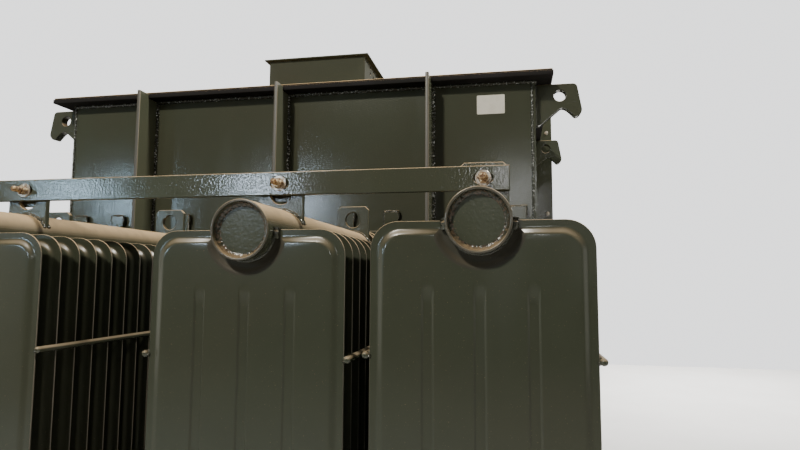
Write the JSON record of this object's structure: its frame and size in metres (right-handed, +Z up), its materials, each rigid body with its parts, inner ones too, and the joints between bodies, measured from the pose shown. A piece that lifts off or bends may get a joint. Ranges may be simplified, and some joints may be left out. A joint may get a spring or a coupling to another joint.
{
  "type": "oil-filled power transformer",
  "caption": "Oil-filled power transformer: welded tank with rim flange, lifting hooks, pressed-panel radiator banks on header pipes, a brace bar and a far-side terminal compartment.",
  "frame": {"origin": "centre of the footprint of the whole object, at ground level", "axes": "+Z up; +X along the tank, to the right when its radiators face the viewer; -Y towards the viewer, through the radiator banks"},
  "size_m": [1.638, 2.0224, 2.3292],
  "materials": {
    "olive_paint": "gloss paint over welded plate, dusty on top",
    "bare_steel": "satin core sheets and wrapped windings, out of sight",
    "radiator_paint": "gloss paint over pressed panels, dusty on top"
  },
  "bodies": {
    "root": {"brace_bar": "olive_paint", "compartment_plate": "olive_paint", "compartment_roof": "olive_paint", "compartment_shell": "olive_paint", "core_and_windings": "bare_steel", "cover_box": "olive_paint", "cover_box_lid": "olive_paint", "cover_plate": "olive_paint", "hook_front_left": "olive_paint", "hook_front_right": "olive_paint", "hook_rear_left": "olive_paint", "hook_rear_right": "olive_paint", "radiator_1": "radiator_paint", "radiator_1_bottom_valve": "radiator_paint", "radiator_1_front_lug": "radiator_paint", "radiator_1_rear_lug": "radiator_paint", "radiator_1_rod_left": "radiator_paint", "radiator_1_rod_right": "radiator_paint", "radiator_1_top_valve": "radiator_paint", "radiator_2": "radiator_paint", "radiator_2_bottom_valve": "radiator_paint", "radiator_2_front_lug": "radiator_paint", "radiator_2_rear_lug": "radiator_paint", "radiator_2_rod_left": "radiator_paint", "radiator_2_rod_right": "radiator_paint", "radiator_2_top_valve": "radiator_paint", "radiator_3": "radiator_paint", "radiator_3_bottom_valve": "radiator_paint", "radiator_3_front_lug": "radiator_paint", "radiator_3_rear_lug": "radiator_paint", "radiator_3_rod_left": "radiator_paint", "radiator_3_rod_right": "radiator_paint", "radiator_3_top_valve": "radiator_paint", "radiator_4": "radiator_paint", "radiator_4_bottom_valve": "radiator_paint", "radiator_4_front_lug": "radiator_paint", "radiator_4_rear_lug": "radiator_paint", "radiator_4_rod_left": "radiator_paint", "radiator_4_rod_right": "radiator_paint", "radiator_4_top_valve": "radiator_paint", "rear_bar_left": "olive_paint", "rear_bar_middle": "olive_paint", "rear_bar_right": "olive_paint", "rim_flange": "olive_paint", "skid_left": "olive_paint", "skid_right": "olive_paint", "stiffener_left": "olive_paint", "stiffener_middle": "olive_paint", "stiffener_right": "olive_paint", "tank_floor": "olive_paint", "tank_front_wall": "olive_paint", "tank_left_wall": "olive_paint", "tank_rear_wall": "olive_paint", "tank_right_wall": "olive_paint"}
  },
  "joints": []
}
